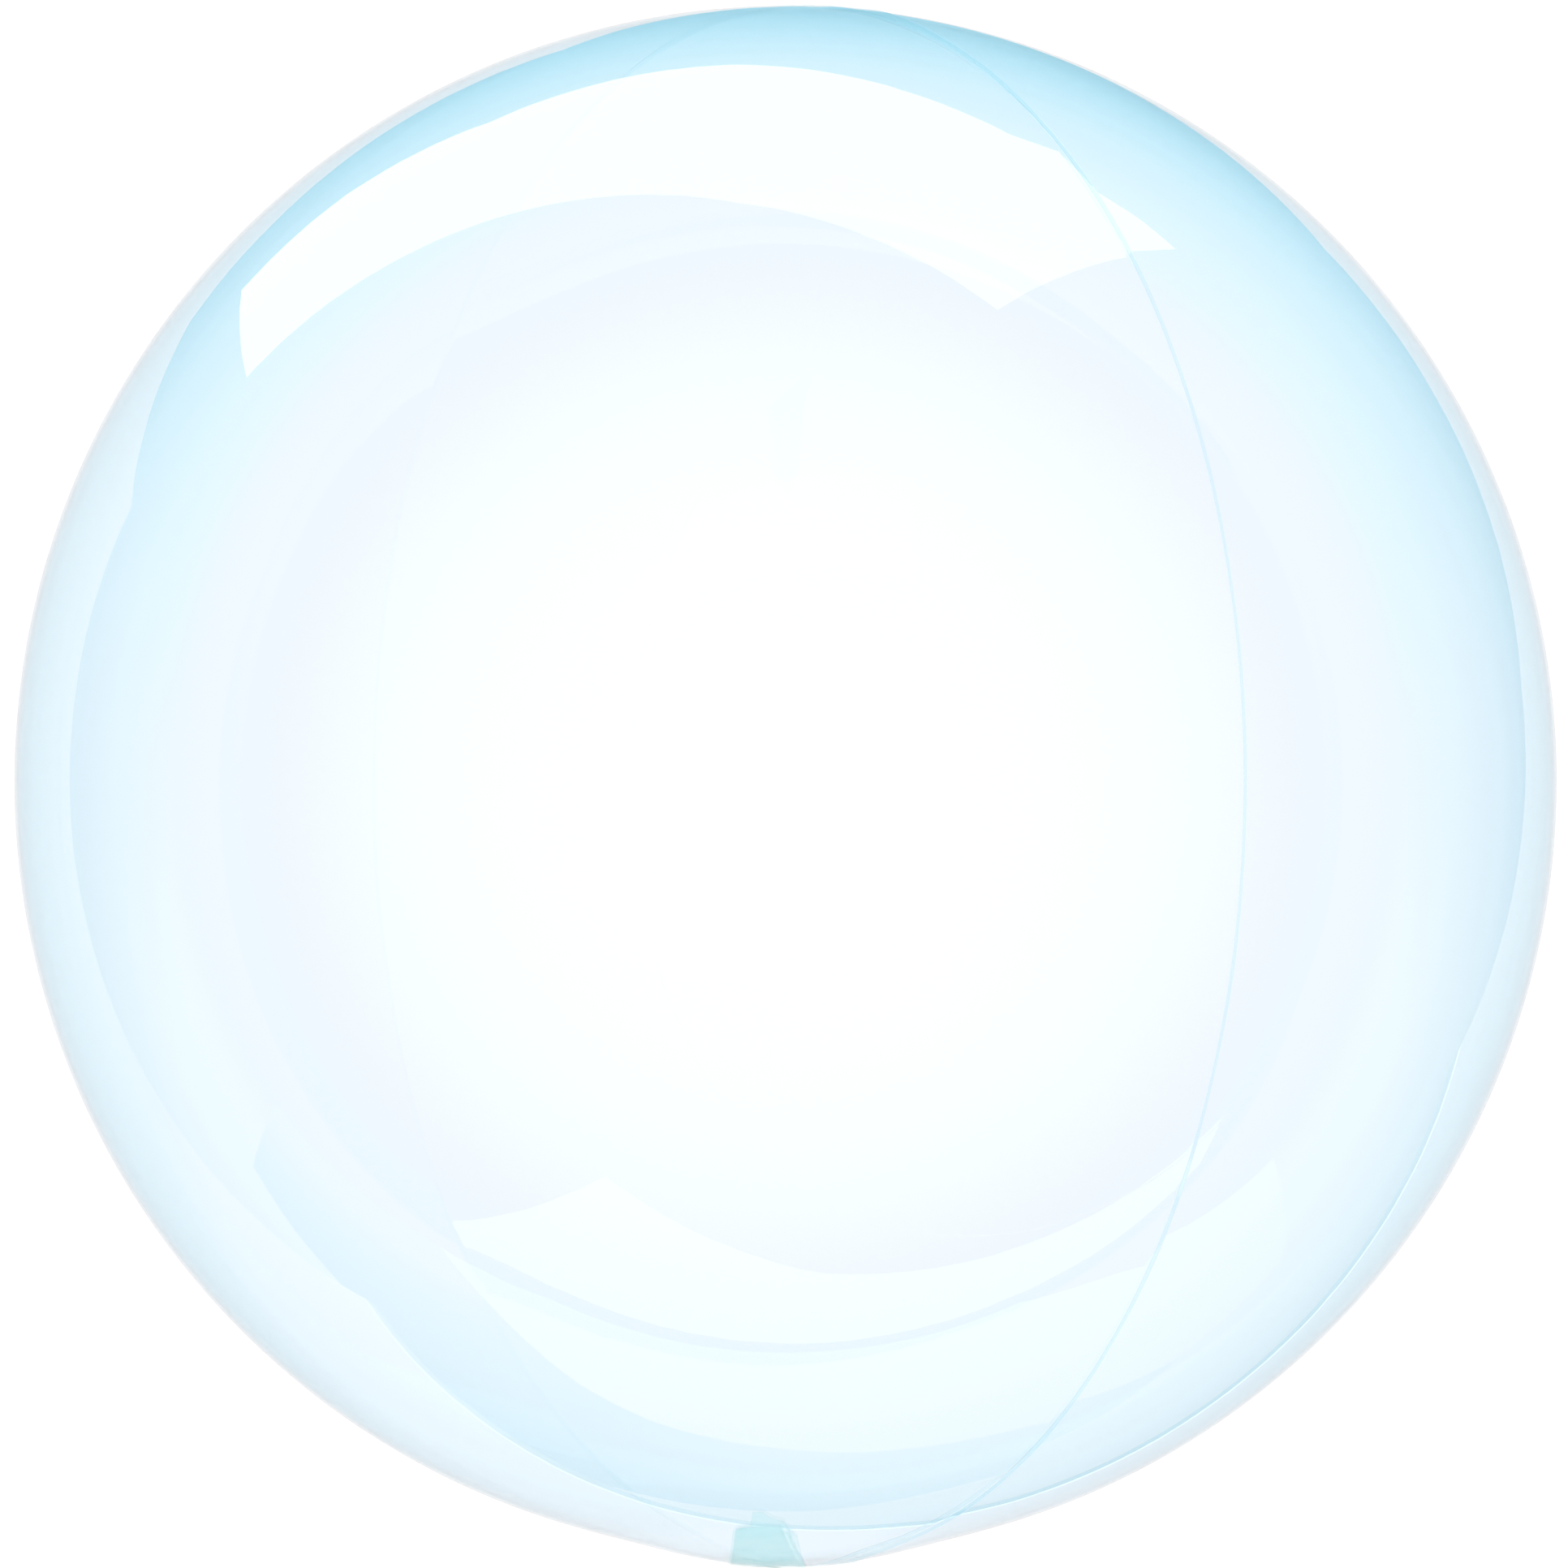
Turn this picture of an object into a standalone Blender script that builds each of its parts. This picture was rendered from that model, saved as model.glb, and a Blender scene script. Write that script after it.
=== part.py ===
# Clear bubble balloon, modelled in metres with +Z up.
# Two round panels of clear film are welded edge to edge and blown up into a ball. The balloon lies on
# its rear panel, with its foot towards -Y, where the flat filler tail is folded up over the front panel.
# The origin is on the resting surface, straight below the middle of the ball.
import math

import bmesh
import bpy
from mathutils import Matrix, Vector

# Driving dimensions: lengths in metres, turns in degrees
SEAM_RADIUS = 0.2535  # middle of the ball to the film, along the weld
PANEL_DEPTH = 0.2510  # middle of the ball to the middle of either panel
SEAM_TURN = 34.0  # the weld's plane is turned this far about Y from upright
CREST_HEIGHT = 0.0004  # the weld draws the film out to a slight crest
CREST_REACH = 0.0120  # how fast the crest dies away on either side
FOOT_DRAW = 0.0032  # the root of the tail draws the film this far out at the foot
FOOT_REACH = 0.0410  # how far from the foot that dies away
FOOT_BLUNTNESS = 3.0  # 2 is a plain swell, and more is blunter
WELD_HEIGHT = 0.0016  # the trimmed weld stands this far out of the film
WELD_UNDER_TAIL = 0.0002  # what is left of it where the tail takes its place
WELD_FOOT = 0.0014  # its thickness where it leaves the film
WELD_LIP = 0.0008  # its thickness at the trimmed edge
REST_RADIUS = 0.0280  # the flat spot that the balloon lies on
TAIL_LENGTH = 0.1134  # weld to tip, along the tail's middle
TAIL_ROOT_WIDTH = 0.0265  # at the weld
TAIL_END_WIDTH = 0.0190  # before the end rounds off
TAIL_END_ROUND = 0.0200  # the corners fall back this far behind the tip
TAIL_END_CURVE = 1.6  # 2 is a plain arc, and less is more pointed
TAIL_SHIFT = -0.0066  # the tail's middle lies this far along X from the ball's middle
TAIL_THICKNESS = 0.0008
CLEARANCE = 0.0003  # between the tail and the skin

# Facets
RING_STEPS = 92  # round the weld, a multiple of four
PANEL_STEPS = 20  # from the weld to the middle of a panel
TAIL_STEPS_ACROSS = 10
TAIL_STEPS_ALONG = 26
MERGE_DISTANCE = 0.00001

# Directions of the weld's plane: AXLE stands square to it, ALONG and FOOT lie in it
TURN = math.radians(SEAM_TURN)
AXLE = Vector((math.cos(TURN), 0.0, -math.sin(TURN)))
ALONG = Vector((math.sin(TURN), 0.0, math.cos(TURN)))
FOOT = Vector((0.0, -1.0, 0.0))


def film_radius(latitude):
    """Middle of the turned ball to its film, at a latitude counted from the weld."""
    across = math.cos(latitude) / (SEAM_RADIUS - CREST_HEIGHT)
    deep = math.sin(latitude) / PANEL_DEPTH
    crest = CREST_HEIGHT * math.exp(-abs(latitude) * SEAM_RADIUS / CREST_REACH)
    return 1.0 / math.hypot(across, deep) + crest


def foot_draw(direction):
    """How far the tail's root draws the film out, in a unit direction from the ball's middle."""
    away = direction.angle(FOOT) * SEAM_RADIUS
    return FOOT_DRAW * math.exp(-((away / FOOT_REACH) ** FOOT_BLUNTNESS))


def under_tail(direction):
    """1 where the tail's root takes the place of the weld, falling to 0 on either side of it."""
    lean = math.asin(TAIL_SHIFT / math.sin(TURN) / SEAM_RADIUS)
    root = math.sin(lean) * ALONG + math.cos(lean) * FOOT
    reach = 1.1 * TAIL_ROOT_WIDTH / 2 / math.sin(TURN)
    return math.exp(-((direction.angle(root) * SEAM_RADIUS / reach) ** 8))


def middle_height():
    """Height of the ball's middle when it rests on its flat spot."""
    reach = math.hypot((SEAM_RADIUS - CREST_HEIGHT) * math.cos(TURN), PANEL_DEPTH * math.sin(TURN))
    return math.sqrt(reach**2 - REST_RADIUS**2)


def skin_profile():
    """Half outline of the ball about the AXLE, as (radius, height), from one panel's middle to the other's."""
    foot = math.asin(WELD_FOOT / 2 / SEAM_RADIUS)
    quarter = math.pi / 2
    side = []
    for step in range(PANEL_STEPS + 1):
        latitude = quarter + (foot - quarter) * step / PANEL_STEPS
        radius = film_radius(latitude)
        side.append((radius * math.cos(latitude), radius * math.sin(latitude)))
    side[0] = (0.0, side[0][1])
    lip = (SEAM_RADIUS + WELD_HEIGHT, WELD_LIP / 2)
    upper = side + [lip]
    lower = [(radius, -height) for radius, height in reversed(upper)]
    return upper + lower


def drawn_out(point):
    """Where a point of the turned ball goes when the tail draws out the foot and replaces the weld."""
    direction = point.normalized()
    stand = max(point.length - SEAM_RADIUS, 0.0)
    lost = stand * (1.0 - WELD_UNDER_TAIL / WELD_HEIGHT) * under_tail(direction)
    return direction * (point.length + foot_draw(direction) - lost)


def plastic(name, colour, roughness):
    """A clear film's own material."""
    material = bpy.data.materials.new(name)
    material.use_nodes = True
    shader = material.node_tree.nodes["Principled BSDF"]
    shader.inputs["Base Color"].default_value = colour
    shader.inputs["Roughness"].default_value = roughness
    shader.inputs["Metallic"].default_value = 0.0
    shader.inputs["Transmission Weight"].default_value = 1.0
    material.diffuse_color = colour
    return material


def add_object(name, mesh, collection, parent):
    """Put a mesh into a collection under a parent."""
    thing = bpy.data.objects.new(name, mesh)
    collection.objects.link(thing)
    thing.parent = parent
    return thing


def make_skin(collection, middle):
    """The ball: its half outline turned by Screw, stood on the AXLE, and drawn out at the foot."""
    outline = bpy.data.meshes.new("half_outline")
    points = skin_profile()
    edges = [(index, index + 1) for index in range(len(points) - 1)]
    outline.from_pydata([(radius, 0.0, height) for radius, height in points], edges, [])
    skin = add_object("balloon_skin", outline, collection, middle)
    turn = skin.modifiers.new("turned about the axle", "SCREW")
    turn.axis = "Z"
    turn.steps = RING_STEPS
    turn.render_steps = RING_STEPS
    turn.use_merge_vertices = True
    turn.merge_threshold = MERGE_DISTANCE
    mesh = bpy.data.meshes.new_from_object(skin.evaluated_get(bpy.context.evaluated_depsgraph_get()))
    mesh.name = "balloon_skin"
    mesh.transform(Matrix.Rotation(math.radians(90.0) + TURN, 4, "Y"))
    for vertex in mesh.vertices:
        vertex.co = drawn_out(vertex.co)
    skin.modifiers.remove(turn)
    skin.data = mesh
    bpy.data.meshes.remove(outline)
    mesh.materials.append(plastic("clear_film", (0.86, 0.96, 0.99, 1.0), 0.03))
    return skin


def cut_rest(skin, collection):
    """Trim the ball flat where it lies, with a block whose top is the resting surface."""
    bpy.ops.mesh.primitive_cube_add(size=SEAM_RADIUS, location=(0.0, 0.0, -SEAM_RADIUS / 2))
    block = bpy.context.active_object
    block.name = "resting_surface"
    for holder in list(block.users_collection):
        holder.objects.unlink(block)
    collection.objects.link(block)
    block.hide_render = True
    block.display_type = "WIRE"
    cut = skin.modifiers.new("flat spot", "BOOLEAN")
    cut.operation = "DIFFERENCE"
    cut.solver = "EXACT"
    cut.object = block


def tail_point(across, along):
    """A point of the tail's inner face from the ball's middle; across and along run from 0 to 1."""
    side = 2 * across - 1
    width = TAIL_ROOT_WIDTH + (TAIL_END_WIDTH - TAIL_ROOT_WIDTH) * along
    right = TAIL_SHIFT + side * width / 2
    root = right / math.tan(TURN) + WELD_FOOT
    tip = TAIL_LENGTH + TAIL_SHIFT / math.tan(TURN) - TAIL_END_ROUND * abs(side) ** TAIL_END_CURVE
    turn_right = right / SEAM_RADIUS
    turn_up = (root + (tip - root) * along) / SEAM_RADIUS
    direction = Vector(
        (
            math.sin(turn_right),
            -math.cos(turn_right) * math.cos(turn_up),
            math.cos(turn_right) * math.sin(turn_up),
        )
    )
    latitude = math.asin(direction.dot(AXLE))
    return direction * (film_radius(latitude) + foot_draw(direction) + CLEARANCE)


def make_tail(collection, middle):
    """The filler tail: a grid laid over the foot of the ball and given its thickness outwards."""
    form = bmesh.new()
    bmesh.ops.create_grid(form, x_segments=TAIL_STEPS_ACROSS, y_segments=TAIL_STEPS_ALONG, size=0.5)
    for vertex in form.verts:
        vertex.co = tail_point(vertex.co.x + 0.5, vertex.co.y + 0.5)
    bmesh.ops.recalc_face_normals(form, faces=form.faces)
    form.normal_update()
    if form.faces[0].normal.y > 0:
        bmesh.ops.reverse_faces(form, faces=form.faces)
    mesh = bpy.data.meshes.new("filler_tail")
    form.to_mesh(mesh)
    form.free()
    tail = add_object("filler_tail", mesh, collection, middle)
    body = tail.modifiers.new("thickness", "SOLIDIFY")
    body.thickness = TAIL_THICKNESS
    body.offset = 1.0
    body.use_rim = True
    mesh.materials.append(plastic("valve_film", (0.66, 0.90, 0.97, 1.0), 0.10))
    return tail


def main():
    for thing in list(bpy.data.objects):
        bpy.data.objects.remove(thing, do_unlink=True)
    parts = bpy.data.collections.new("clear_bubble_balloon")
    cutters = bpy.data.collections.new("cutters")
    for holder in (parts, cutters):
        bpy.context.scene.collection.children.link(holder)
    middle = bpy.data.objects.new("middle_of_the_ball", None)
    middle.location = (0.0, 0.0, middle_height())
    parts.objects.link(middle)
    skin = make_skin(parts, middle)
    cut_rest(skin, cutters)
    make_tail(parts, middle)


main()
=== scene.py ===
# clear bubble balloon: a ball of blown film, the weld round it, and the filler tail with its valve
import math

import bpy
import numpy as np
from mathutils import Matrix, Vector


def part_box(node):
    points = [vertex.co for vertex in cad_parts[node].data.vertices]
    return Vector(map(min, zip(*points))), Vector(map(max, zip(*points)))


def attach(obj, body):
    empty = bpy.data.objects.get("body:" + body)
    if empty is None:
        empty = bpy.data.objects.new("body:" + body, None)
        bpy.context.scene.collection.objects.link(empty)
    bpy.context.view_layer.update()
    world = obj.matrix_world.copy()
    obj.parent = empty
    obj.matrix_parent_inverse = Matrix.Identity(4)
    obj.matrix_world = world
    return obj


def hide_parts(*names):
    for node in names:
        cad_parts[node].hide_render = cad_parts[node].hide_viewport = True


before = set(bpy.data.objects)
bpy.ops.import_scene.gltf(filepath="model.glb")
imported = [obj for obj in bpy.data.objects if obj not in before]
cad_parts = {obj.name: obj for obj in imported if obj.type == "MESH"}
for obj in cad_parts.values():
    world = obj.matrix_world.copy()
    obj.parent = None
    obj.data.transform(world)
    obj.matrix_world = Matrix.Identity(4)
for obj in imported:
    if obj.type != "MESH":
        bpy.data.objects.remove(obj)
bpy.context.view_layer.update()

print("balloon: measuring the packed ball")

# the ball's own sizes, in metres and degrees
ball = {
    "seamRadius": 0.2535,  # middle to film along the weld
    "panelDepth": 0.2510,  # middle to film at a panel's middle
    "seamTurn": 34.0,  # the weld's plane is turned this far about Y
    "crest": 0.0004,  # film drawn out by the weld
    "crestReach": 0.0120,
    "footDraw": 0.0032,  # film drawn out by the tail
    "footReach": 0.0410,
    "footBlunt": 3.0,
    "filmThick": 0.00025,
    "ringSteps": 300,  # round the weld
    "panelSteps": 72,  # weld to the middle of a panel
    "crowding": 1.35,  # above 1 the steps lie closer towards the weld
}

turn = math.radians(ball["seamTurn"])
axle = np.array([math.cos(turn), 0.0, -math.sin(turn)])  # square to the weld's plane
along = np.array([math.sin(turn), 0.0, math.cos(turn)])  # in that plane, square to Y
upright = np.array([0.0, 1.0, 0.0])
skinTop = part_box("balloon_skin")[1][2]
seamRise = (ball["seamRadius"] - ball["crest"]) * math.cos(turn)
panelRise = ball["panelDepth"] * math.sin(turn)
middle = np.array([0.0, 0.0, skinTop - math.hypot(seamRise, panelRise)])

# how far the blown film is from perfectly round, in metres
filmWaves = {
    "inset": 0.00006,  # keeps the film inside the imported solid
    "slack": 0.00022,  # broad hollows all over
    "slackWaves": (  # waves along X, Y and Z, where they start, and their share
        (5.1, 2.3, 0.0, 0.6, 1.0),
        (0.0, 4.3, -3.7, 2.1, 1.0),
        (2.9, 0.0, 6.2, 4.0, 1.0),
        (9.0, -7.0, 5.0, 0.0, 0.5),
    ),
    "pucker": 0.00005,  # short gathers beside the weld
    "puckerReach": 0.0090,
    "puckerWaves": (118, 2.0, 7),  # number, how far they stray and how often
    "puckerGroups": (31, 1.0),  # number and start
    "gather": 0.00035,  # creases that run out of the foot and the crown
    "gatherReach": 0.0220,
    "gatherClear": 0.006,  # none this near to the very end
    "gatherWaves": (9, 1.7, 2),
    "gatherEnds": ((-1.0, 0.4), (1.0, 1.9)),  # foot and crown, and where their creases start
}


def straying(place, waves, start=0.0):
    # waves of uneven length round a circle
    count, stray, often = waves
    return np.sin(count * place + start + stray * np.sin(often * place + start))


def filmRadius(direction):
    # middle of the ball to the film: two shallow panels, the weld's crest and the drawn-out foot
    latitude = np.arcsin(np.clip(direction @ axle, -1, 1))
    across = np.cos(latitude) / (ball["seamRadius"] - ball["crest"])
    deep = np.sin(latitude) / ball["panelDepth"]
    crest = ball["crest"] * np.exp(-np.abs(latitude) * ball["seamRadius"] / ball["crestReach"])
    away = np.arccos(np.clip(-direction[..., 1], -1, 1)) * ball["seamRadius"]
    draw = ball["footDraw"] * np.exp(-((away / ball["footReach"]) ** ball["footBlunt"]))
    return 1.0 / np.hypot(across, deep) + crest + draw


def filmHollow(direction):
    # inward dents of the film
    broad, most = 0.0, 0.0
    for x, y, z, start, share in filmWaves["slackWaves"]:
        broad = broad + share * np.sin(direction @ np.array([x, y, z]) + start)
        most += share
    hollow = filmWaves["inset"] + filmWaves["slack"] * (most - broad) / (2 * most)
    fromWeld = np.abs(np.arcsin(np.clip(direction @ axle, -1, 1))) * ball["seamRadius"]
    place = np.arctan2(direction @ along, direction[..., 1])
    groups, start = filmWaves["puckerGroups"]
    ripple = 0.5 + 0.5 * straying(place, filmWaves["puckerWaves"]) * np.sin(groups * place + start)
    hollow = hollow + filmWaves["pucker"] * ripple * np.exp(-fromWeld / filmWaves["puckerReach"])
    spoke = np.arctan2(direction @ axle, direction @ along)
    for end, start in filmWaves["gatherEnds"]:
        fromEnd = np.arccos(np.clip(end * direction[..., 1], -1, 1)) * ball["seamRadius"]
        fold = 0.5 + 0.5 * straying(spoke, filmWaves["gatherWaves"], start)
        clear = 1 - np.exp(-((fromEnd / filmWaves["gatherClear"]) ** 2))
        hollow = hollow + filmWaves["gather"] * fold * clear * np.exp(-fromEnd / filmWaves["gatherReach"])
    return hollow


def filmPoint(latitude, place, depth=0.0):
    # place runs round the weld from the top, latitude away from it, depth inwards from the outer face
    latitude, place = np.broadcast_arrays(np.asarray(latitude, float), np.asarray(place, float))
    spin = np.cos(place)[..., None] * along + np.sin(place)[..., None] * upright
    direction = np.cos(latitude)[..., None] * spin + np.sin(latitude)[..., None] * axle
    radius = filmRadius(direction) - filmHollow(direction) - depth
    point = middle + direction * radius[..., None]
    point[..., 2] = np.maximum(point[..., 2], depth)  # pressed flat where it lies
    return point


def newPiece(name, points, faces, material):
    mesh = bpy.data.meshes.new(name)
    mesh.from_pydata([tuple(p) for p in points], [], [tuple(f) for f in faces])
    mesh.shade_smooth()
    mesh.materials.append(material)
    piece = bpy.data.objects.new(name, mesh)
    bpy.context.scene.collection.objects.link(piece)
    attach(piece, "root")
    return piece


def gridFaces(rows, columns, start=0, flip=False, ring=True):
    # quads between neighbouring rows of a grid of points; a ring's last column meets its first
    faces = []
    for row in range(rows - 1):
        for column in range(columns if ring else columns - 1):
            near = (column + 1) % columns
            a, b = start + row * columns + column, start + row * columns + near
            quad = (a, b, b + columns, a + columns)
            faces.append(quad[::-1] if flip else quad)
    return faces


def capFaces(row, columns, tip, flip=False):
    # triangles from one row of a ring to a single point
    faces = []
    for column in range(columns):
        face = (row + column, row + (column + 1) % columns, tip)
        faces.append(face[::-1] if flip else face)
    return faces


# the noise in the films' materials
noise = {
    "usual": (0.4, 0.7),  # most of its values lie between these
    "deep": 0.001,  # height of a ripple at full strength, in metres
}


def spreadOver(tree, value, span, results=(0.0, 1.0), smooth=False):
    # turns the span of a value into the span of its results
    spread = tree.nodes.new("ShaderNodeMapRange")
    if smooth:
        spread.interpolation_type = "SMOOTHSTEP"
    spread.inputs["From Min"].default_value, spread.inputs["From Max"].default_value = span
    spread.inputs["To Min"].default_value, spread.inputs["To Max"].default_value = results
    tree.links.new(value, spread.inputs["Value"])
    return spread.outputs["Result"]


def placeAlong(tree, axis, space="Object"):
    where = tree.nodes.new("ShaderNodeTexCoord")
    split = tree.nodes.new("ShaderNodeSeparateXYZ")
    tree.links.new(where.outputs[space], split.inputs[0])
    return split.outputs[axis]


def noiseOn(tree, size):
    # noise that stays with the piece
    where = tree.nodes.new("ShaderNodeTexCoord")
    grain = tree.nodes.new("ShaderNodeTexNoise")
    grain.inputs["Scale"].default_value = size
    tree.links.new(where.outputs["Object"], grain.inputs["Vector"])
    return grain.outputs["Fac"]


def colourMix(tree, share, first, second):
    # first and second are plain colours or the outputs of other nodes
    mix = tree.nodes.new("ShaderNodeMix")
    mix.data_type = "RGBA"
    tree.links.new(share, mix.inputs[0])
    for colour, socket in ((first, mix.inputs[6]), (second, mix.inputs[7])):
        if isinstance(colour, tuple):
            socket.default_value = colour
        else:
            tree.links.new(colour, socket)
    return mix.outputs[2]


def surfaceGrain(material, values):
    # fine ripples by noise, and uneven gloss where the piece isn't perfectly clear
    tree = material.node_tree
    shader = tree.nodes["Principled BSDF"]
    bump = tree.nodes.new("ShaderNodeBump")
    bump.inputs["Strength"].default_value = values["ripple"]
    bump.inputs["Distance"].default_value = noise["deep"]
    tree.links.new(noiseOn(tree, values["rippleSize"]), bump.inputs["Height"])
    tree.links.new(bump.outputs["Normal"], shader.inputs["Normal"])
    if "haze" in values:
        gloss = spreadOver(tree, noiseOn(tree, values["hazeSize"]), noise["usual"], values["haze"])
        tree.links.new(gloss, shader.inputs["Roughness"])
    else:
        shader.inputs["Roughness"].default_value = values["roughness"]
    return material


def seeThrough(name, values):
    # film that bends the light which comes through it
    material = bpy.data.materials.new(name)
    material.use_nodes = True
    shader = material.node_tree.nodes["Principled BSDF"]
    shader.inputs["Base Color"].default_value = values["tint"]
    shader.inputs["Transmission Weight"].default_value = 1.0
    shader.inputs["IOR"].default_value = values["ior"]
    if "rimTint" in values:
        shader.inputs["Coat Weight"].default_value = 1.0
        shader.inputs["Coat Roughness"].default_value = 0.0
        shader.inputs["Coat IOR"].default_value = values["rimIor"]
        shader.inputs["Coat Tint"].default_value = values["rimTint"]
    return surfaceGrain(material, values)


# finish of the blown film
film = {
    "tint": (1.0, 1.0, 1.0, 1.0),
    "ior": 1.5,
    "rimTint": (0.945, 0.975, 0.987, 1.0),  # deepens towards the rim, as a longer way through film does
    "rimIor": 1.018,
    "roughness": 0.0,
    "rippleSize": 60.0,  # noise scale of the film's fine ripples
    "ripple": 0.012,
}


def makeFilm():
    # both panels as one closed shell of film, with its inner face just below the outer one
    columns = ball["ringSteps"]
    quarter = math.pi / 2
    half = (np.arange(ball["panelSteps"]) / ball["panelSteps"]) ** ball["crowding"] * quarter
    latitude = np.concatenate([-half[:0:-1], half])[:, None]
    place = np.linspace(0, 2 * math.pi, columns, endpoint=False)[None, :]
    count = len(latitude) * columns
    layers, faces = [], []
    for base, depth, flip in ((0, 0.0, True), (count + 2, ball["filmThick"], False)):
        layers.append(filmPoint(latitude, place, depth).reshape(-1, 3))
        layers.append(np.array([filmPoint(-quarter, 0.0, depth), filmPoint(quarter, 0.0, depth)]))
        faces += gridFaces(len(latitude), columns, base, flip)
        faces += capFaces(base, columns, base + count, not flip)
        faces += capFaces(base + count - columns, columns, base + count + 1, flip)
    skin = newPiece("blown_film", np.concatenate(layers), faces, seeThrough("clearFilm", film))
    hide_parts("balloon_skin")


print("balloon: blowing up the film")
makeFilm()

# the trimmed weld: two films fused into a thin fin on the great circle
weld = {
    "height": 0.0016,
    "underTail": 0.0002,  # height left where the tail takes its place
    "tailReach": 1.1,  # that place's width, in widths of the tail's root
    "tailBlunt": 8,
    "above": 0.00002,  # the fin starts this far outside the film
    "footThick": 0.00034,
    "lipThick": 0.00022,
    "lipRounding": 0.9,  # share of its thickness left at the very lip
    "sharpAngle": 40.0,
    "steps": 900,
    "unevenTrim": 0.00018,
    "trimWaves": (23, 1.3, 5),  # number, how far they stray and how often
    "lean": 0.00010,
    "leanWaves": (17, 2.0, 3),
    "tint": (0.86, 0.965, 0.99, 1.0),
    # painted light: the seam's paler tint low down
    "washedOutTint": (0.985, 0.996, 1.0, 1.0),
    "tintHeights": (0.12, 0.34),  # painted light: the tint comes in between these heights, paler below them
    "ior": 1.06,
    "hazeSize": 90.0,
    "haze": (0.03, 0.10),
    "rippleSize": 420.0,  # the sealing bar's grain
    "ripple": 0.08,
}

# the filler tail, folded up over the front panel
tail = {
    "length": 0.1134,
    "rootWidth": 0.0265,
    "endWidth": 0.0190,
    "shift": -0.0066,
    "weldFoot": 0.0014,
    "gap": 0.0003,
    "tornEnd": (  # place across and height, both as shares
        (0.0, 0.815), (0.05, 0.84), (0.12, 0.855), (0.27, 0.868), (0.30, 0.995), (0.34, 0.985), (0.42, 1.0),
        (0.48, 0.995), (0.55, 0.965), (0.62, 0.945), (0.72, 0.925), (0.82, 0.91), (0.90, 0.83), (0.95, 0.78),
        (1.0, 0.72),
    ),
    "plyUnder": 0.00014,  # heights above the gap, here and below, in metres
    "plyOver": 0.00022,
    "puff": 0.00034,  # the most that the two plies stand apart
    "puffEdge": 8,  # more makes a narrower seal along each edge
    "puffEven": 0.62,
    "puffWaves": (4, 9),  # across and up
    "puffStart": 12,  # it is full at this part of the way up
    "sleeveLevels": (0.00015, 0.00019),
    "sleeveLeft": 0.04,
    "sleeveRight": ((0.0, 0.97), (0.23, 0.965), (0.45, 0.905), (0.60, 0.877), (0.75, 0.848), (0.86, 0.77)),
    "sleeveEnd": ((0.04, 0.815), (0.12, 0.845), (0.30, 0.862), (0.50, 0.857), (0.77, 0.84), (0.97, 0.60)),
    "foldLevels": (0.00060, 0.00068),
    "foldSides": (0.004, 0.045),  # right of the sleeve
    "foldEnd": 0.80,
    "stepsAcross": 72,
    "stepsAlong": 110,
    "dye": (0.10, 0.98, 1.0, 1.0),
    "paleDye": (0.16, 1.0, 1.0, 1.0),
    "dyeSize": 55.0,
    "ior": 1.45,
    "plyCover": 0.075,  # share of the light behind that each face of the piece takes up
    "sleeveCover": 0.125,
    "foldCover": 0.13,
    "hazeSize": 120.0,
    "haze": (0.12, 0.28),
    "rippleSize": 160.0,  # crinkles
    "ripple": 0.25,
}


def fusedFilm():
    # painted light: the tint shows most on the upper side, and hardly where the ball lies, standing in for
    # the lower seam washed out against the bright floor
    material = seeThrough("fusedFilm", weld)
    tree = material.node_tree
    share = spreadOver(tree, placeAlong(tree, "Z"), weld["tintHeights"])
    tint = colourMix(tree, share, weld["washedOutTint"], weld["tint"])
    tree.links.new(tint, tree.nodes["Principled BSDF"].inputs["Base Color"])
    return material


def weldHeight(spin):
    # full height all round, but next to nothing over the root of the tail
    lean = math.asin(tail["shift"] / math.sin(turn) / ball["seamRadius"])
    root = math.sin(lean) * along - math.cos(lean) * upright
    reach = weld["tailReach"] * tail["rootWidth"] / 2 / math.sin(turn)
    away = np.arccos(np.clip(spin @ root, -1, 1)) * ball["seamRadius"]
    clear = 1 - np.exp(-((away / reach) ** weld["tailBlunt"]))
    return weld["underTail"] + (weld["height"] - weld["underTail"]) * clear


def makeWeld():
    place = np.linspace(0, 2 * math.pi, weld["steps"], endpoint=False)
    foot = np.linalg.norm(filmPoint(0.0, place) - middle, axis=1) + weld["above"]
    spin = np.cos(place)[:, None] * along + np.sin(place)[:, None] * upright
    height = weldHeight(spin)
    trim = weld["unevenTrim"] * (0.5 + 0.5 * straying(place, weld["trimWaves"]))
    lean = weld["lean"] * straying(place, weld["leanWaves"])
    lip = weld["lipRounding"] / 2
    section = ((0.0, 0.5), (0.5, 0.5), (1.0, lip), (1.0, -lip), (0.5, -0.5), (0.0, -0.5))  # (rise, side)
    columns = []
    for rise, side in section:
        thick = weld["footThick"] * (1 - rise) + weld["lipThick"] * rise
        radius = foot + rise * (height * (1 - trim / weld["height"]) - weld["above"])
        point = middle + spin * radius[:, None] + axle * (side * thick + rise * lean)[:, None]
        point[:, 2] = np.maximum(point[:, 2], 0.0)
        columns.append(point)
    points = np.stack(columns, axis=1).reshape(-1, 3)
    width = len(section)
    faces = []
    for step in range(weld["steps"]):
        here, near = step * width, (step + 1) % weld["steps"] * width
        for corner in range(width):
            other = (corner + 1) % width
            faces.append((here + corner, near + corner, near + other, here + other))
    fin = newPiece("weld_edge", points, faces, fusedFilm())
    fin.data.set_sharp_from_angle(angle=math.radians(weld["sharpAngle"]))


print("balloon: trimming the weld")
makeWeld()


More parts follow.
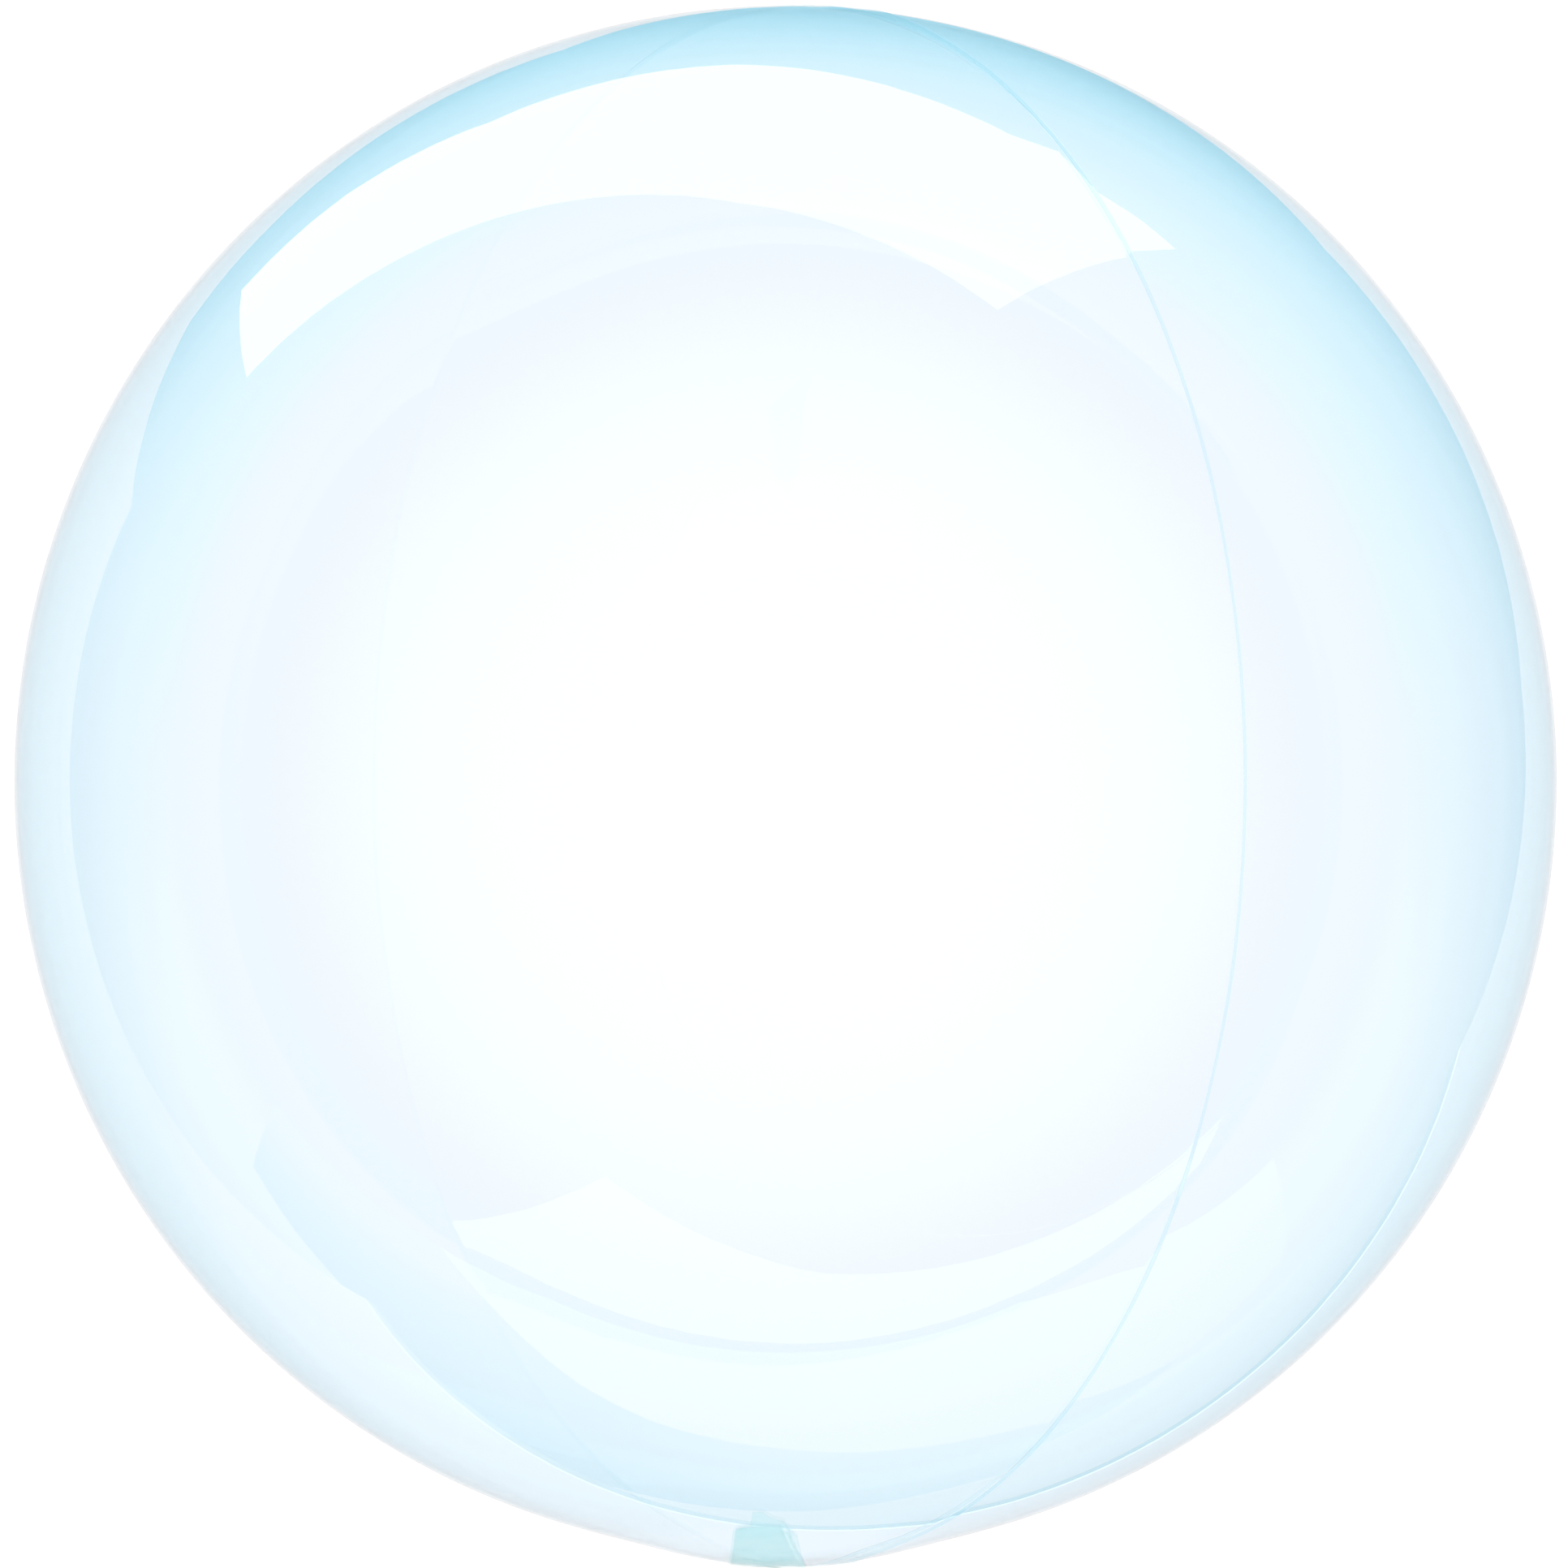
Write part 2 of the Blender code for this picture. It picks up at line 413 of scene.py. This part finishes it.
def tailPoint(across, up, rise):
    # across 0 to 1 from left to right, up 0 to 1 from the weld to the tip, rise in metres above the gap
    width = tail["rootWidth"] + (tail["endWidth"] - tail["rootWidth"]) * up
    right = tail["shift"] + (across - 0.5) * width
    root = right / math.tan(turn) + tail["weldFoot"]
    tip = tail["length"] + tail["shift"] / math.tan(turn)
    turnRight, turnUp = right / ball["seamRadius"], (root + (tip - root) * up) / ball["seamRadius"]
    direction = np.stack(
        [np.sin(turnRight), -np.cos(turnRight) * np.cos(turnUp), np.cos(turnRight) * np.sin(turnUp)], axis=-1
    )
    radius = filmRadius(direction) - filmHollow(direction) + tail["gap"] + rise
    return middle + direction * radius[..., None]


def lookUp(table, value):
    steps, results = np.array(table).T
    return np.interp(value, steps, results)


def tailSheet(name, sides, end, under, over, material):
    # a flat closed bag: sides gives its two edges at each height, end how far up it reaches at each place
    # across, under and over the heights of its two faces
    rows, columns = tail["stepsAlong"], tail["stepsAcross"]
    row = np.linspace(0, 1, rows)[:, None]
    left, right = sides(row)
    across = left + (right - left) * np.linspace(0, 1, columns)[None, :]
    up = end(across) * row
    layers = [tailPoint(across, up, height(across, up)).reshape(-1, 3) for height in (under, over)]
    count = rows * columns
    faces = gridFaces(rows, columns, 0, flip=True, ring=False) + gridFaces(rows, columns, count, ring=False)
    border = list(range(columns))
    border += [step * columns + columns - 1 for step in range(1, rows)]
    border += [(rows - 1) * columns + step for step in range(columns - 2, -1, -1)]
    border += [step * columns for step in range(rows - 2, 0, -1)]
    for index, a in enumerate(border):
        b = border[(index + 1) % len(border)]
        faces.append((a, b, b + count, a + count))
    return newPiece(name, np.concatenate(layers), faces, material)


def dyedFilm(name, cover):
    # flat layers of dyed film: thinly covering rather than refracting, so several can lie on each other
    material = bpy.data.materials.new(name)
    material.use_nodes = True
    tree = material.node_tree
    shader = tree.nodes["Principled BSDF"]
    shader.inputs["IOR"].default_value = tail["ior"]
    shader.inputs["Alpha"].default_value = cover
    dye = colourMix(tree, noiseOn(tree, tail["dyeSize"]), tail["dye"], tail["paleDye"])
    tree.links.new(dye, shader.inputs["Base Color"])
    return surfaceGrain(material, tail)


def makeTail():
    def puff(across, up):
        # how far the two plies stand apart: nothing along the heat-sealed edges, uneven between them
        edge = np.clip(1 - np.abs(2 * across - 1) ** tail["puffEdge"], 0, 1)
        wavesAcross, wavesUp = tail["puffWaves"]
        uneven = (1 - tail["puffEven"]) * np.sin(wavesUp * up + wavesAcross * across)
        return edge * (tail["puffEven"] + uneven) * np.clip(tail["puffStart"] * up, 0, 1)

    def level(height):
        return lambda across, up: height + 0 * across

    def sleeveSides(row):
        lastHeight = tail["sleeveRight"][-1][0]
        return tail["sleeveLeft"], lookUp(tail["sleeveRight"], lastHeight * row)

    def foldSides(row):
        sleeve = lookUp(tail["sleeveRight"], tail["foldEnd"] * row)
        left, right = tail["foldSides"]
        return sleeve + left, sleeve + right

    plies = tailSheet(
        "filler_plies",
        lambda row: (0.0, 1.0),
        lambda across: lookUp(tail["tornEnd"], across),
        lambda across, up: tail["plyUnder"] * (1 - puff(across, up)),
        lambda across, up: tail["plyOver"] + tail["puff"] * puff(across, up),
        dyedFilm("plyFilm", tail["plyCover"]),
    )
    under, over = tail["sleeveLevels"]
    tailSheet(
        "valve_sleeve", sleeveSides, lambda across: lookUp(tail["sleeveEnd"], across),
        level(under), level(over), dyedFilm("sleeveFilm", tail["sleeveCover"]),
    )
    under, over = tail["foldLevels"]
    tailSheet(
        "folded_edge", foldSides, lambda across: tail["foldEnd"] + 0 * across,
        level(under), level(over), dyedFilm("foldFilm", tail["foldCover"]),
    )
    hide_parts("filler_tail")


print("balloon: folding up the filler tail")
makeTail()

# studio: a plain pale floor and dome; the lit card, the shade, the pale sheet and the long light beyond the
# crown are painted reflections: they stand in it for the film's gloss alone
studio = {
    "cardHeight": -0.0004,
    "cardCorners": (
        (-0.64, -0.782), (0.53, -0.211), (0.475, 0.06), (0.36, 0.205), (0.29, 0.285), (0.0, 0.30),
        (-0.11, 0.36), (-0.275, 0.298), (-0.34, 0.262), (-0.60, 0.25),
    ),
    "cardAlong": (  # place along Y and glow there: warmer towards the near edge
        (-0.80, (1.38, 1.19, 1.15, 1.0)), (-0.42, (1.38, 1.19, 1.15, 1.0)),
        (-0.26, (1.22, 1.14, 1.12, 1.0)), (0.40, (1.22, 1.14, 1.12, 1.0)),
    ),
    "edgeHeight": -0.0003,
    "edgeWide": (0.018, 0.006),  # widths of the painted shadow on the dark side and the painted highlight on the lit side of the card's near edge
    "edgeShadow": (0.80, 0.93, 0.97, 1.0),
    "edgeHighlight": (1.6, 1.55, 1.5, 1.0),
    "floorHeight": -0.0006,
    "floorRadius": 14.0,
    "floorSides": 64,
    "floorBeyond": (0.50, 0.95, 1.08, 1.0),  # painted reflection: the floor as mirrored by the long light, beside the ball and near
    "floorBeside": (0.77, 0.87, 0.95, 1.0),
    "floorNear": (1.15, 1.08, 1.06, 1.0),
    "floorSpan": (-0.50, 0.50),  # from the near side to the long light
    "floorFades": (1.0, 2.6),  # distances between which it takes on the colour of the dome's horizon
    "plainNear": (1.22, 1.14, 1.12, 1.0),  # floor and dome as seen past the ball and through it
    "plainFar": (0.86, 0.90, 0.93, 1.0),
    # painted light: the plain floor glows brightest round the ball, fading to plainFar between these
    # distances
    "plainFades": (0.9, 3.5),
    "sheetHeight": -0.0005,
    "shadeCorners": (
        (0.25, -0.60), (0.02, -0.558), (-0.20, -0.56), (-0.57, -0.736), (-0.90, -0.64), (-2.1, -1.3),
    ),
    "shadeAlong": (  # place along X and glow there: it comes in and dies away softly
        (-1.7, (0.80, 0.80, 0.95, 1.0)), (-0.85, (0.48, 0.74, 0.88, 1.0)), (-0.35, (0.50, 0.76, 0.90, 1.0)),
        (0.10, (0.82, 0.94, 0.99, 1.0)), (0.55, (1.05, 1.03, 1.03, 1.0)),
    ),
    "sharedCorners": (  # where the shade ends and the pale sheet begins
        (-3.38, -4.46), (-1.28, -2.30), (-0.49, -1.39), (-0.254, -1.17), (-0.02, -1.04), (0.179, -0.893),
        (0.356, -0.753), (0.426, -0.615),
    ),
    "paleCorners": (
        (0.578, -0.557), (0.746, -0.655), (1.59, -1.22), (2.02, -2.63), (5.3, -11.9), (-5.5, -11.9),
    ),
    "paleGlow": (1.25, 1.16, 1.13, 1.0),
    "zenith": (1.5, 1.5, 1.5, 1.0),
    "horizon": (0.79, 0.66, 1.0, 1.0),
    "domeFades": (0.05, 0.85),  # heights between which the horizon turns into the zenith
    "lightCorners": (
        (-0.391, 0.351, 0.003), (-0.320, 0.424, 0.003), (-0.244, 0.538, 0.003), (-0.038, 0.623, 0.003),
        (0.281, 0.825, 0.003), (0.649, 0.875, 0.003), (0.652, 1.461, 0.678), (-0.140, 1.594, 0.327),
        (-0.694, 1.442, 0.014), (-0.736, 0.545, 0.003),
    ),
    "lightGlow": (2.0, 2.0, 2.0, 1.0),
}


def flatSheet(name, corners, material, height=None):
    # corners are (x, y) at one height, or (x, y, z)
    if height is not None:
        corners = [(x, y, height) for x, y in corners]
    mesh = bpy.data.meshes.new(name)
    mesh.from_pydata(corners, [], [tuple(range(len(corners)))])
    mesh.materials.append(material)
    sheet = bpy.data.objects.new(name, mesh)
    bpy.context.scene.collection.objects.link(sheet)


def glowing(name, colour):
    # lit cloth or paper: it shines by itself, so the light on it is even
    material = bpy.data.materials.new(name)
    material.use_nodes = True
    shader = material.node_tree.nodes["Principled BSDF"]
    shader.inputs["Base Color"].default_value = (0, 0, 0, 1)
    shader.inputs["Specular IOR Level"].default_value = 0.0
    shader.inputs["Emission Color"].default_value = colour
    shader.inputs["Emission Strength"].default_value = 1.0
    return material


def blended(name, axis, stops):
    # lit paper whose glow changes smoothly along one axis; stops gives (place, glow)
    material = glowing(name, stops[0][1])
    tree = material.node_tree
    first, last = stops[0][0], stops[-1][0]
    ramp = tree.nodes.new("ShaderNodeValToRGB")
    ramp.color_ramp.interpolation = "EASE"
    ramp.color_ramp.elements[0].color = stops[0][1]
    ramp.color_ramp.elements[1].color = stops[-1][1]
    for place, glow in stops[1:-1]:
        ramp.color_ramp.elements.new((place - first) / (last - first)).color = glow
    tree.links.new(spreadOver(tree, placeAlong(tree, axis), (first, last)), ramp.inputs["Fac"])
    tree.links.new(ramp.outputs["Color"], tree.nodes["Principled BSDF"].inputs["Emission Color"])
    return material


def fadeAway(tree, span, near, far):
    # painted light: near turns into far with distance, as the light on a studio's sweep does
    where = tree.nodes.new("ShaderNodeTexCoord")
    away = tree.nodes.new("ShaderNodeVectorMath")
    away.operation = "LENGTH"
    tree.links.new(where.outputs["Object"], away.inputs[0])
    return colourMix(tree, spreadOver(tree, away.outputs["Value"], span, smooth=True), near, far)


def onlyMirrored(material, plain=None):
    # a sheet that shows in the gloss of the film alone, a painted reflection; plain is its glow, if any,
    # when looked at straight
    tree = material.node_tree
    path = tree.nodes.new("ShaderNodeLightPath")
    straight = tree.nodes.new("ShaderNodeEmission" if plain else "ShaderNodeBsdfTransparent")
    if plain:
        straight.inputs["Color"].default_value = plain
    pick = tree.nodes.new("ShaderNodeMixShader")
    tree.links.new(path.outputs["Glossy Depth"], pick.inputs[0])
    tree.links.new(straight.outputs[0], pick.inputs[1])
    tree.links.new(tree.nodes["Principled BSDF"].outputs[0], pick.inputs[2])
    tree.links.new(pick.outputs[0], tree.nodes["Material Output"].inputs["Surface"])
    return material


def floorGlowAndReflection():
    # plain and pale to the eye; painted reflection: the film mirrors it cooler beyond the ball and whiter on
    # the near side
    near, far = studio["floorSpan"]
    beside = (near + far) / 2
    stops = ((near, studio["floorNear"]), (beside, studio["floorBeside"]), (far, studio["floorBeyond"]))
    material = blended("floorGlowAndReflection", "Y", stops)
    tree = material.node_tree
    glow = tree.nodes["Principled BSDF"].inputs["Emission Color"]
    mirrored = glow.links[0].from_socket
    tree.links.new(fadeAway(tree, studio["floorFades"], mirrored, studio["horizon"]), glow)
    onlyMirrored(material, studio["plainNear"])
    plain = fadeAway(tree, studio["plainFades"], studio["plainNear"], studio["plainFar"])
    tree.links.new(plain, tree.nodes["Emission"].inputs["Color"])
    return material


def makeCard():
    paper = onlyMirrored(blended("cardPaper", "Y", studio["cardAlong"]), studio["plainNear"])
    flatSheet("white_card", studio["cardCorners"], paper, studio["cardHeight"])
    left, right = (np.array(corner) for corner in studio["cardCorners"][:2])
    out = np.array([right[1] - left[1], left[0] - right[0]]) / np.linalg.norm(right - left)
    dark, lit = studio["edgeWide"]
    # painted shadow and painted highlight of the card's near edge: strips seen in the film's gloss alone
    for name, near, far, glow in (("card_edge_shadow", 0.0, dark, "edgeShadow"), ("card_lip_highlight", -lit, 0.0, "edgeHighlight")):
        strip = [left + out * near, left + out * far, right + out * far, right + out * near]
        flatSheet(name, strip, onlyMirrored(glowing(name, studio[glow])), studio["edgeHeight"])


def makeDome():
    world = bpy.data.worlds.new("studioDome")
    bpy.context.scene.world = world
    world.use_nodes = True
    tree = world.node_tree
    tree.nodes.clear()
    # painted reflection: the horizon-to-zenith gradient shows in the film's gloss alone; everywhere else the
    # dome is plainFar
    share = spreadOver(tree, placeAlong(tree, "Z", "Generated"), studio["domeFades"], smooth=True)
    mirrored = colourMix(tree, share, studio["horizon"], studio["zenith"])
    path = tree.nodes.new("ShaderNodeLightPath")
    glow = colourMix(tree, path.outputs["Glossy Depth"], studio["plainFar"], mirrored)
    sky = tree.nodes.new("ShaderNodeBackground")
    output = tree.nodes.new("ShaderNodeOutputWorld")
    tree.links.new(glow, sky.inputs["Color"])
    tree.links.new(sky.outputs[0], output.inputs["Surface"])


def makeStudio():
    angles = np.linspace(0, 2 * math.pi, studio["floorSides"], endpoint=False)
    ring = [(studio["floorRadius"] * math.cos(a), studio["floorRadius"] * math.sin(a)) for a in angles]
    flatSheet("studio_floor", ring, floorGlowAndReflection(), studio["floorHeight"])
    makeCard()
    shared = studio["sharedCorners"]
    shade = onlyMirrored(blended("shadeCloth", "X", studio["shadeAlong"]))
    flatSheet("near_shade", shared + studio["shadeCorners"], shade, studio["sheetHeight"])
    # painted reflection: the pale sheet stands in for the lower half of the long light's reflection turned
    # back inside the ball
    pale = onlyMirrored(glowing("paleCloth", studio["paleGlow"]))
    flatSheet("pale_sheet", shared + studio["paleCorners"], pale, studio["sheetHeight"])
    flatSheet("long_light", studio["lightCorners"], onlyMirrored(glowing("lightCloth", studio["lightGlow"])))
    makeDome()


# the camera looks straight down on the balloon
view = {
    "lens": 267.0,  # millimetres
    "sensor": 36.0,
    "aside": (-0.0004, -0.0009),
    "above": 3.8,  # over the middle of the ball
    "clip": (0.1, 60.0),
}


def makeCamera():
    data = bpy.data.cameras.new("photoCamera")
    data.lens, data.sensor_width = view["lens"], view["sensor"]
    data.clip_start, data.clip_end = view["clip"]
    camera = bpy.data.objects.new("photoCamera", data)
    bpy.context.scene.collection.objects.link(camera)
    camera.location = (*view["aside"], middle[2] + view["above"])
    camera.rotation_euler = (0.0, 0.0, 0.0)
    bpy.context.scene.camera = camera


print("balloon: setting the studio")
makeStudio()
makeCamera()
bpy.context.scene.view_settings.view_transform = "Standard"
